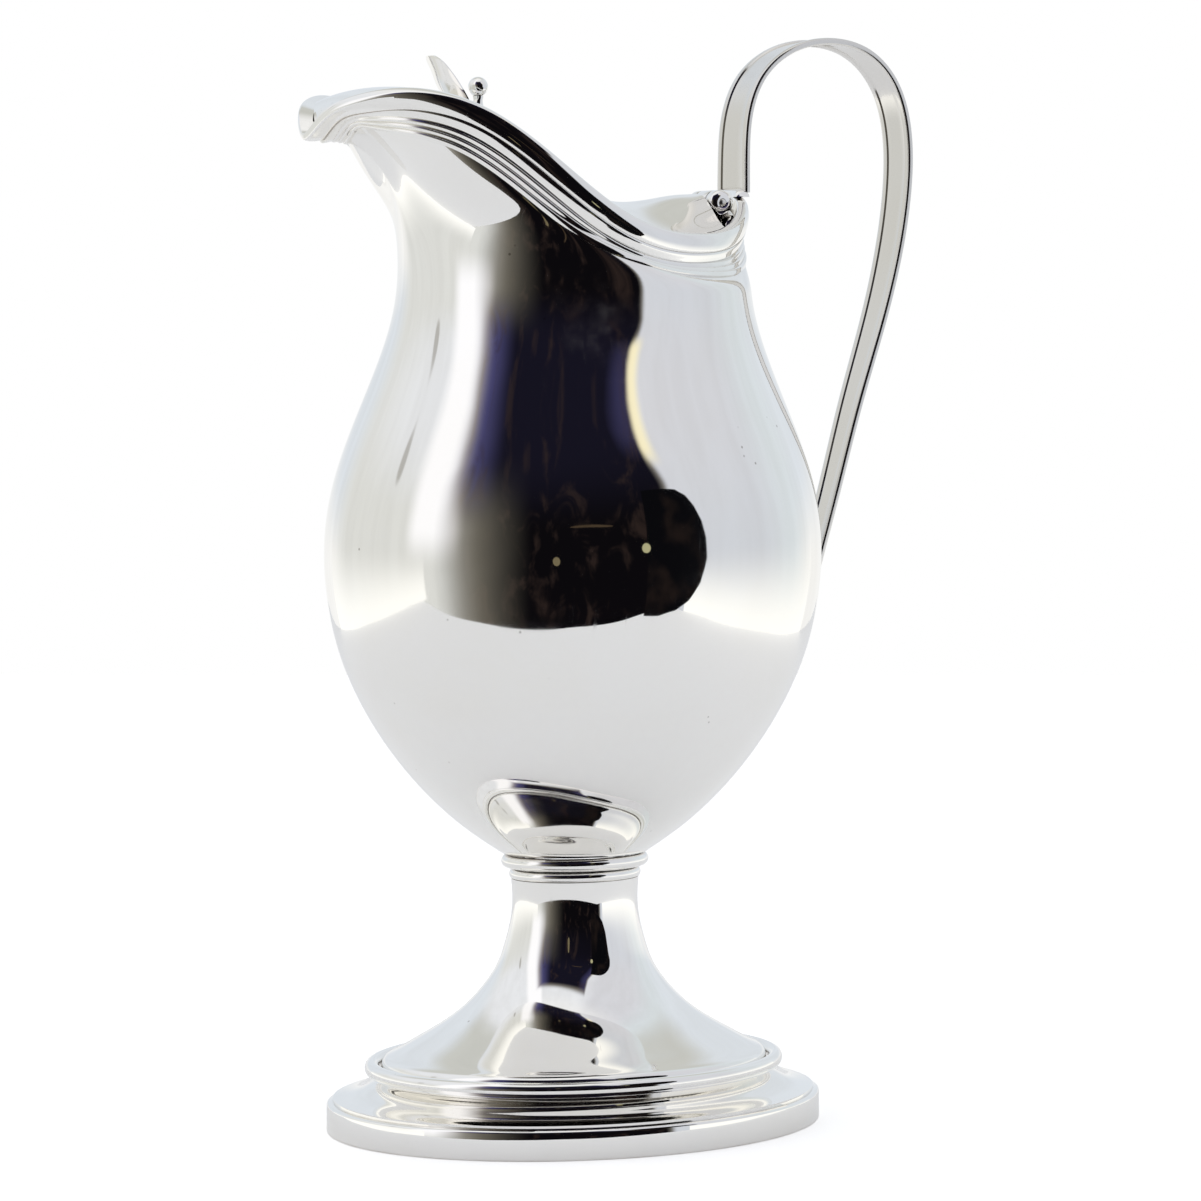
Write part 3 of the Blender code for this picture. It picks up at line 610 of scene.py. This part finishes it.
def strap_section(half):
    """(across, through) outline of the strap: a round-topped reed along each edge, both faces alike."""
    middle = half - REED_WIDTH / 2
    round_top = [(middle + (REED_WIDTH / 2) * math.cos(a), 0.62 + 0.38 * math.sin(a))
                 for a in np.linspace(0.0, 0.72 * math.pi, 8)]
    inner = half - REED_WIDTH
    side = round_top + [(inner + 0.1, STRAP_FIELD + 0.06), (inner - 0.15, STRAP_FIELD),
                        (half * 0.3, STRAP_FIELD)]
    face = side + [(-y, t) for y, t in side[::-1]]
    return face + [(-y, -t) for y, t in face]


def build_strap(mat):
    share, x, z, nx, nz = strap_frames(200)
    half_width = spline(STRAP_WIDTH, share) / 2
    rings = []
    for i in range(len(share)):
        section = [(y, t * STRAP_THICK / 2) for y, t in strap_section(half_width[i])]
        rings.append([(x[i] + nx[i] * t, y, z[i] + nz[i] * t) for y, t in section])
    foot = [(px, y, pz - STRAP_FOOT) for px, y, pz in rings[0]]
    add_piece("silver_handle_strap", loft_mesh("silver_handle_strap", [foot] + rings), mat, ["handle_strap"])


def build_handle_saddle(mat):
    """Low cushion between the rim bead and the strap."""
    share = np.linspace(-1, 1, 41)
    angle = math.pi + np.radians(SADDLE_HALF_ANGLE * share)
    low_z = float(mouth_line(math.pi)[2]) - 0.9
    rise = SADDLE_RISE * np.sqrt(np.clip(1 - np.abs(share) ** 5, 0, 1))
    tracks = []
    for across in np.linspace(0, math.pi, 15):
        track = mouth_line(angle, inset=1.4 + 2.1 * math.cos(across))
        track[:, 2] = low_z + rise * math.sin(across) ** 0.6
        tracks.append(track)
    add_piece("silver_handle_saddle", strip_mesh("silver_handle_saddle", tracks), mat, ["handle_saddle"])


def build_handle_pad(mat):
    rings = []
    for f in np.linspace(0, 1, 33):
        height = PAD_LOW_Z + f * PAD_HEIGHT
        half = 1.5 + 5.2 * math.sin(math.pi * (0.12 + 0.62 * f))
        reach = float(spline(BOWL_HALF_LENGTH, height))
        s = np.linspace(-1, 1, 21)
        y = s * half
        x = reach * np.sqrt(1 - (y / (reach * OVAL)) ** 2)
        z = np.full_like(y, height)
        near = np.stack([x - 0.15, y, z], axis=-1)
        far = np.stack([x + PAD_THICK * (1 - 0.5 * s ** 6), y, z], axis=-1)
        rings.append(np.concatenate([near, far[::-1]]))
    add_piece("silver_handle_pad", loft_mesh("silver_handle_pad", rings), mat, ["handle_pad"])


def round_section(radius, middle, height, count=32):
    return [(middle + radius * math.cos(a), height + radius * math.sin(a)) for a in full_turn(count)]


def build_collars(mat):
    upper = turned_mesh("silver_collar_upper", round_section(*COLLAR_UPPER), 200, oval=OVAL)
    add_piece("silver_collar_upper", upper, mat, ["collar_upper"])
    line = smooth_line(COLLAR_LOWER_LINE, 20)
    outline = [(0, COLLAR_LOWER_LINE[0][1]), *line, (0, COLLAR_LOWER_LINE[-1][1])]
    lower = turned_mesh("silver_collar_lower", outline, 200, oval=OVAL, closed=False)
    add_piece("silver_collar_lower", lower, mat, ["collar_lower"])


def build_foot(mat):
    line = smooth_line(FOOT_LINE, 120)
    points = np.array(line)
    along = unit(np.gradient(points, axis=0))
    inner = points + np.stack([along[:, 1], -along[:, 0]], axis=1) * FOOT_WALL
    sheet = line + [tuple(p) for p in inner[::-1]]
    trumpet = turned_mesh("silver_foot_trumpet", sheet, 224, oval=OVAL)
    add_piece("silver_foot_trumpet", trumpet, mat, ["foot_trumpet"])
    wire = turned_mesh("silver_foot_wire", round_section(*FOOT_WIRE), 224, oval=OVAL)
    add_piece("silver_foot_wire", wire, mat, ["foot_step_wire"])
    flange = turned_mesh("silver_foot_flange", FLANGE_OUTLINE, 224, oval=OVAL)
    add_piece("silver_foot_flange", flange, mat, ["foot_flange"], sharp=40)


# ---------------------------------------------------------------- node helpers

class Tree:
    """Short way to write node arithmetic."""

    def __init__(self, tree):
        self.nodes, self.links = tree.nodes, tree.links

    def node(self, kind, **settings):
        node = self.nodes.new(kind)
        for key, value in settings.items():
            setattr(node, key, value)
        return node

    def feed(self, socket, value):
        if isinstance(value, bpy.types.NodeSocket):
            self.links.new(value, socket)
        elif value is not None:
            socket.default_value = value

    def math(self, operation, a, b=None, c=None, clamp=False):
        node = self.node("ShaderNodeMath", operation=operation, use_clamp=clamp)
        for socket, value in zip(node.inputs, (a, b, c)):
            self.feed(socket, value)
        return node.outputs[0]

    def vector(self, operation, a, b=None, out=0):
        node = self.node("ShaderNodeVectorMath", operation=operation)
        self.feed(node.inputs[0], a)
        self.feed(node.inputs[1], b)
        return node.outputs[out]

    def ramp(self, value, low, high, to_low=0.0, to_high=1.0, kind="SMOOTHSTEP"):
        """value from low to high becomes to_low to to_high, held beyond both ends."""
        node = self.node("ShaderNodeMapRange", interpolation_type=kind, clamp=True)
        for socket, v in zip(node.inputs, (value, low, high, to_low, to_high)):
            self.feed(socket, v)
        return node.outputs[0]

    def mix(self, share, a, b, blend="MIX"):
        node = self.node("ShaderNodeMix", data_type="RGBA", blend_type=blend)
        self.feed(node.inputs[0], share)
        self.feed(node.inputs[6], a if not isinstance(a, tuple) else (*a, 1.0))
        self.feed(node.inputs[7], b if not isinstance(b, tuple) else (*b, 1.0))
        return node.outputs[2]

    def noise(self, at, scale, detail=2.0, rough=0.5, distort=0.0):
        node = self.node("ShaderNodeTexNoise")
        self.feed(node.inputs["Vector"], at)
        node.inputs["Scale"].default_value = scale
        node.inputs["Detail"].default_value = detail
        node.inputs["Roughness"].default_value = rough
        node.inputs["Distortion"].default_value = distort
        return node.outputs[0]

    def placed(self, at, turn=(0, 0, 0), scale=(1, 1, 1)):
        node = self.node("ShaderNodeMapping")
        self.feed(node.inputs["Vector"], at)
        node.inputs["Rotation"].default_value = [math.radians(t) for t in turn]
        node.inputs["Scale"].default_value = scale
        return node.outputs[0]


def silver(name, tint, roughness, waves=1.0, wear=1.0):
    """Hand-finished silver: faint planishing waves, hairline scratches, wiping haze, dull recesses."""
    mat = bpy.data.materials.new(name)
    mat.use_nodes = True
    t = Tree(mat.node_tree)
    bsdf = mat.node_tree.nodes["Principled BSDF"]
    at = t.node("ShaderNodeTexCoord").outputs["Object"]

    # rubbed patch on the near side of the neck, under the rim
    rub = t.placed(t.vector("SUBTRACT", at, RUB_CENTRE), scale=(1, 1, 0.75))
    rub = t.vector("LENGTH", rub, out=1)
    rub = t.math("MULTIPLY", t.ramp(rub, 0.004, 0.017, 1.0, 0.0),
                 t.ramp(t.noise(at, 120.0, 4.0, 0.65), 0.38, 0.66))

    hair = None
    for turn, size in HAIRLINES:
        lines = t.noise(t.placed(at, turn, (1.0, 0.05, 0.05)), size, 1.0, 0.4)
        patch = t.noise(t.placed(at, turn), 40.0, 1.0)
        line = t.math("MULTIPLY", t.ramp(lines, 0.70, 0.74), t.ramp(patch, 0.5, 0.66))
        hair = line if hair is None else t.math("MAXIMUM", hair, line)
    curls = t.math("ABSOLUTE", t.math("SUBTRACT", t.noise(at, 260.0, 1.0, 0.4, 1.2), 0.5))
    curls = t.ramp(curls, 0.0, 0.012, 1.0, 0.0)
    hair = t.math("MAXIMUM", hair, t.math("MULTIPLY", curls, t.math("MULTIPLY", rub, 0.8)))

    haze = t.noise(at, 22.0, 4.0, 0.6, 0.4)
    wipe = t.noise(t.placed(at, (0, 20, 0), (1.0, 1.0, 3.5)), 60.0, 3.0, 0.55)
    pits = t.node("ShaderNodeTexVoronoi", feature="F1")
    t.feed(pits.inputs["Vector"], at)
    pits.inputs["Scale"].default_value = 260.0
    near = t.ramp(pits.outputs["Distance"], 0.05, 0.13, 1.0, 0.0)
    pit = t.math("MULTIPLY", near, t.ramp(t.noise(at, 75.0, 1.0), 0.66, 0.70))

    hollow = t.node("ShaderNodeAmbientOcclusion", samples=6)
    hollow.inputs["Distance"].default_value = RECESS_REACH
    dirt = t.ramp(hollow.outputs["AO"], 0.25, 0.80, 1.0, 0.0)
    dirt = t.math("MULTIPLY", dirt, t.ramp(t.noise(at, 140.0, 3.0), 0.3, 0.7, 0.5, 1.0))

    rough = t.math("ADD", roughness, t.math("MULTIPLY", t.ramp(haze, 0.42, 0.75), 0.04 * wear))
    rough = t.math("ADD", rough, t.math("MULTIPLY", t.ramp(wipe, 0.5, 0.8), 0.03 * wear))
    rough = t.math("ADD", rough, t.math("MULTIPLY", hair, 0.05 * wear))
    rough = t.math("ADD", rough, t.math("MULTIPLY", rub, 0.16))
    rough = t.math("ADD", rough, t.math("MULTIPLY", dirt, 0.2))
    t.feed(bsdf.inputs["Roughness"], rough)

    colour = t.mix(t.ramp(haze, 0.35, 0.75), tint, tuple(c * k for c, k in zip(tint, (0.985, 0.98, 0.965))))
    colour = t.mix(t.math("MULTIPLY", pit, 0.6 * wear), colour, (0.22, 0.19, 0.16))
    colour = t.mix(t.math("MULTIPLY", dirt, 0.5), colour, (0.34, 0.28, 0.23))
    t.feed(bsdf.inputs["Base Color"], colour)
    bsdf.inputs["Metallic"].default_value = 1.0

    broad = t.node("ShaderNodeBump")
    broad.inputs["Strength"].default_value = 1.0
    broad.inputs["Distance"].default_value = 0.00018 * waves
    t.feed(broad.inputs["Height"], t.noise(at, 38.0, 1.5, 0.4, 0.3))
    fine = t.node("ShaderNodeBump")
    fine.inputs["Strength"].default_value = 0.2 * wear
    fine.inputs["Distance"].default_value = 0.00001
    t.feed(fine.inputs["Height"], t.math("SUBTRACT", t.math("MULTIPLY", wipe, 0.6), pit))
    t.links.new(broad.outputs["Normal"], fine.inputs["Normal"])
    t.links.new(fine.outputs["Normal"], bsdf.inputs["Normal"])
    return mat


# ---------------------------------------------------------------- studio

def toward_camera():
    turn = math.radians(CAMERA_AZIMUTH)
    return np.array([math.sin(turn), -math.cos(turn), 0.0])


def build_world():
    """Pale tent all round with the dark room showing through its open front, behind the camera.
    The camera itself sees plain white."""
    world = bpy.data.worlds.new("tent")
    bpy.context.scene.world = world
    world.use_nodes = True
    world.node_tree.nodes.clear()
    t = Tree(world.node_tree)
    way = t.vector("NORMALIZE", t.node("ShaderNodeTexCoord").outputs["Generated"])
    front = toward_camera()
    right = np.array([-front[1], front[0], 0.0])
    ahead = t.vector("DOT_PRODUCT", way, tuple(front), out="Value")
    beside = t.vector("DOT_PRODUCT", way, tuple(right), out="Value")
    level = t.vector("DOT_PRODUCT", way, (0, 0, 1), out="Value")
    turn = t.math("DEGREES", t.math("ARCTAN2", beside, ahead))
    rise = t.math("DEGREES", t.math("ARCSINE", level))

    # pale folded walls, brighter overhead, cooler on the right and behind
    folds = t.noise(t.placed(way, scale=(1.0, 1.0, 0.12)), 7.0, 3.0, 0.6)
    left = t.mix(t.ramp(rise, 12, 38), (0.76, 0.77, 0.75), (0.84, 0.86, 0.90))
    cool = t.mix(t.ramp(rise, 0, 40), (0.66, 0.69, 0.75), (0.70, 0.71, 0.76))
    wall = t.mix(t.ramp(turn, 30, 60), left, cool)
    wall = t.mix(t.ramp(turn, 95, 125), wall, (0.72, 0.78, 0.82))
    back = t.mix(t.ramp(rise, -4, 9), (0.98, 0.98, 0.97), t.mix(t.ramp(rise, 34, 48), (0.75, 0.80, 0.86),
                                                               (0.60, 0.61, 0.58)))
    wall = t.mix(t.ramp(t.math("ABSOLUTE", turn), 118, 145), wall, back)
    wall = t.mix(t.ramp(rise, 58, 78), wall, (0.93, 0.93, 0.93))
    wall = t.mix(t.ramp(folds, 0.3, 0.7, 0.10, 0.0), wall, (0.35, 0.34, 0.32))
    glint = t.math("MULTIPLY", t.ramp(turn, -66, -56), t.ramp(turn, -35, -28, 1.0, 0.0))
    wall = t.mix(t.math("MULTIPLY", glint, t.ramp(rise, -6, 10)), wall, (1.05, 1.05, 1.08))
    slit = t.math("ADD", t.math("POWER", t.math("DIVIDE", t.math("ADD", turn, 79.0), 2.2), 2.0),
                  t.math("POWER", t.math("DIVIDE", t.math("SUBTRACT", rise, 27.0), 5.5), 2.0))
    wall = t.mix(t.ramp(slit, 0.4, 1.6, 0.55, 0.0), wall, (0.24, 0.22, 0.18))

    # open front: soft beige slope on its left low down, crisper higher up, rounded on its right
    low_edge = t.math("POWER", t.ramp(turn, -46, 2, 1.0, 0.0, "LINEAR"), 1.6)
    high_edge = t.ramp(turn, -46, -27, 1.0, 0.0)
    left_edge = t.mix(t.ramp(rise, 8, 34), low_edge, high_edge)
    right_limit = t.math("ADD", t.ramp(rise, 30, 46, 50.0, 41.0), t.ramp(rise, 19, 33, 7.0, 0.0))
    past = t.math("SUBTRACT", turn, right_limit)
    right_edge = t.ramp(past, -2.5, 2.5)
    top_edge = t.ramp(rise, 52, 60)
    closed = t.math("MAXIMUM", t.math("MAXIMUM", left_edge, right_edge), top_edge)

    right_violet = t.math("MULTIPLY", t.math("MULTIPLY", t.ramp(past, -14, -3), 0.45), t.ramp(rise, 24, 34))
    violet = t.math("MAXIMUM", t.ramp(turn, -34, -13, 1.0, 0.06), right_violet)
    violet = t.math("MULTIPLY", violet, t.ramp(rise, 8, 34))
    dusk = t.mix(violet, (0.0035, 0.003, 0.004), (0.075, 0.072, 0.19))
    streak = t.noise(t.placed(way, scale=(2.0, 2.0, 1.2)), 3.0, 4.0, 0.6, 0.8)
    dusk = t.mix(t.math("MULTIPLY", t.ramp(streak, 0.52, 0.72), 0.55), dusk, (0.040, 0.026, 0.022))
    warm = t.mix(t.ramp(closed, 0.25, 0.9), (0.55, 0.50, 0.42), (1.0, 1.0, 1.0))
    sky = t.mix(closed, dusk, t.mix(1.0, wall, warm, "MULTIPLY"))
    gold = t.math("MULTIPLY", t.math("MULTIPLY", t.ramp(past, -2, 1), t.ramp(past, 2, 6, 1.0, 0.0)),
                  t.math("MULTIPLY", t.ramp(rise, 24, 29), t.ramp(rise, 34, 40, 1.0, 0.0)))
    sky = t.mix(t.math("MULTIPLY", gold, 0.8), sky, (1.05, 0.95, 0.60))

    seen = t.node("ShaderNodeLightPath").outputs["Is Camera Ray"]
    sky = t.mix(seen, sky, (1.0, 1.0, 1.0))
    glow = t.node("ShaderNodeBackground")
    t.feed(glow.inputs["Color"], sky)
    t.links.new(glow.outputs[0], t.node("ShaderNodeOutputWorld").inputs[0])


def add_sheet(name, corners, mat):
    """Flat staged panel. Each corner is (metres towards the camera, metres to its right, height)."""
    front = toward_camera()
    right = np.array([-front[1], front[0], 0.0])
    middle = np.array([FOOT_AXIS_X * MM, 0.0, 0.0])
    mesh = bpy.data.meshes.new(name)
    bm = bmesh.new()
    for ahead, beside, height in corners:
        bm.verts.new(middle + front * ahead + right * beside + np.array([0.0, 0.0, height]))
    bm.faces.new(bm.verts)
    bm.to_mesh(mesh)
    bm.free()
    sheet = bpy.data.objects.new(name, mesh)
    bpy.context.scene.collection.objects.link(sheet)
    mesh.materials.append(mat)
    return sheet


def build_floor():
    """Pale table top whose near edge shows in the bowl, with low bright cards along its two sides.
    The camera sees the table nearly as white as the tent, and doesn't see the cards."""
    mat = bpy.data.materials.new("table_paper")
    mat.use_nodes = True
    mat.node_tree.nodes.clear()
    t = Tree(mat.node_tree)
    at = t.node("ShaderNodeTexCoord").outputs["Object"]
    paper = t.node("ShaderNodeBsdfDiffuse")
    t.feed(paper.inputs["Color"], t.mix(t.noise(at, 90.0, 3.0), (0.87, 0.87, 0.88), (0.90, 0.90, 0.90)))
    lift = t.node("ShaderNodeEmission")
    seen = t.node("ShaderNodeLightPath").outputs["Is Camera Ray"]
    t.feed(lift.inputs["Strength"], t.math("MULTIPLY_ADD", seen, 0.34, 0.17))
    both = t.node("ShaderNodeAddShader")
    t.links.new(paper.outputs[0], both.inputs[0])
    t.links.new(lift.outputs[0], both.inputs[1])
    t.links.new(both.outputs[0], t.node("ShaderNodeOutputMaterial").inputs[0])
    side = TABLE_HALF_WIDTH
    add_sheet("table_top", [(TABLE_FRONT, -side, 0), (TABLE_FRONT, side, 0), (TABLE_BACK, side, 0),
                            (TABLE_BACK, -side, 0)], mat)

    card = bpy.data.materials.new("side_card")
    card.use_nodes = True
    card.node_tree.nodes.clear()
    t = Tree(card.node_tree)
    height = t.node("ShaderNodeSeparateXYZ")
    t.feed(height.inputs[0], t.node("ShaderNodeTexCoord").outputs["Object"])
    glow = t.node("ShaderNodeEmission")
    glow.inputs["Color"].default_value = (1.0, 1.0, 0.97, 1.0)
    glow.inputs["Strength"].default_value = 1.1
    fade = t.node("ShaderNodeMixShader")
    t.feed(fade.inputs[0], t.ramp(height.outputs[2], 0.0, CARD_HEIGHT, 1.0, 0.0))
    t.links.new(t.node("ShaderNodeBsdfTransparent").outputs[0], fade.inputs[1])
    t.links.new(glow.outputs[0], fade.inputs[2])
    t.links.new(fade.outputs[0], t.node("ShaderNodeOutputMaterial").inputs[0])
    for name, beside, near in SIDE_CARDS:
        sheet = add_sheet(name, [(near, beside, 0), (near, beside, CARD_HEIGHT),
                                 (CARD_BACK, beside, CARD_HEIGHT), (CARD_BACK, beside, 0)], card)
        sheet.visible_camera = False


def build_bystander():
    """Dark rounded shape and dim lamps close in front and to the right, seen only in the silver."""
    mat = bpy.data.materials.new("dark_cloth")
    mat.use_nodes = True
    mat.node_tree.nodes.clear()
    t = Tree(mat.node_tree)
    at = t.node("ShaderNodeTexCoord").outputs["Object"]
    glow = t.node("ShaderNodeEmission")
    t.feed(glow.inputs["Color"], t.mix(t.ramp(t.noise(at, 18.0, 3.0), 0.45, 0.7), (0.003, 0.003, 0.004),
                                       (0.013, 0.009, 0.008)))
    t.links.new(glow.outputs[0], t.node("ShaderNodeOutputMaterial").inputs[0])
    corners = []
    for turn, height in BYSTANDER_OUTLINE:
        a = math.radians(turn)
        corners.append((BYSTANDER_REACH * math.cos(a), BYSTANDER_REACH * math.sin(a), height))
    sheets = [add_sheet("dark_bystander", corners, mat)]
    for number, (turn, height, wide, high, colour) in enumerate(FAR_LAMPS):
        lamp = bpy.data.materials.new(f"far_lamp_{number}")
        lamp.use_nodes = True
        lamp.node_tree.nodes.clear()
        t = Tree(lamp.node_tree)
        glow = t.node("ShaderNodeEmission")
        glow.inputs["Color"].default_value = (*colour, 1.0)
        t.links.new(glow.outputs[0], t.node("ShaderNodeOutputMaterial").inputs[0])
        a = math.radians(turn)
        spot = [(LAMP_REACH * math.cos(a) - wide * math.cos(s) * math.sin(a),
                 LAMP_REACH * math.sin(a) + wide * math.cos(s) * math.cos(a), height + high * math.sin(s))
                for s in full_turn(20)]
        sheets.append(add_sheet(f"far_lamp_{number}", spot, lamp))
    for sheet in sheets:
        sheet.visible_camera = False
        sheet.visible_diffuse = False
        sheet.visible_shadow = False


def build_camera():
    scene = bpy.context.scene
    scene.view_settings.view_transform = "Standard"
    lens = bpy.data.cameras.new("photo_view")
    lens.sensor_width = 36.0
    lens.lens = CAMERA_LENS
    lens.shift_x = SHIFT_X
    lens.shift_y = SHIFT_Y
    camera = bpy.data.objects.new("photo_view", lens)
    scene.collection.objects.link(camera)
    camera.location = toward_camera() * CAMERA_DISTANCE + np.array([FOOT_AXIS_X * MM, 0, CAMERA_HEIGHT])
    camera.rotation_euler = (math.radians(90), 0, math.radians(CAMERA_AZIMUTH))
    scene.camera = camera


# ---------------------------------------------------------------- all together

bright = silver("bright_silver", (0.955, 0.945, 0.925), 0.022)
soft = silver("soft_silver", (0.92, 0.905, 0.875), 0.11, waves=1.4, wear=1.5)
worn = silver("worn_silver", (0.80, 0.78, 0.75), 0.10, waves=0.8, wear=1.3)
pin = silver("pin_silver", (0.80, 0.785, 0.75), 0.22, waves=0.6, wear=1.6)

build_body(bright)
build_bead(bright)
build_reeded_band(bright)
build_lid(bright)
build_hinge(bright, pin)
build_hinge_plate(bright)
build_finial(bright)
build_finial_leaf(bright)
build_strap(worn)
build_handle_saddle(bright)
build_handle_pad(bright)
build_collars(bright)
build_foot(bright)

for name, obj in frame["nodes"].items():
    wanted = soft if name.startswith(("lid_seat", "lid_flange")) else pin if name == "hinge_pin" else bright
    wanted = worn if name.startswith("handle_strap") else wanted
    obj.data.materials.clear()
    obj.data.materials.append(wanted)

build_world()
build_floor()
build_bystander()
build_camera()
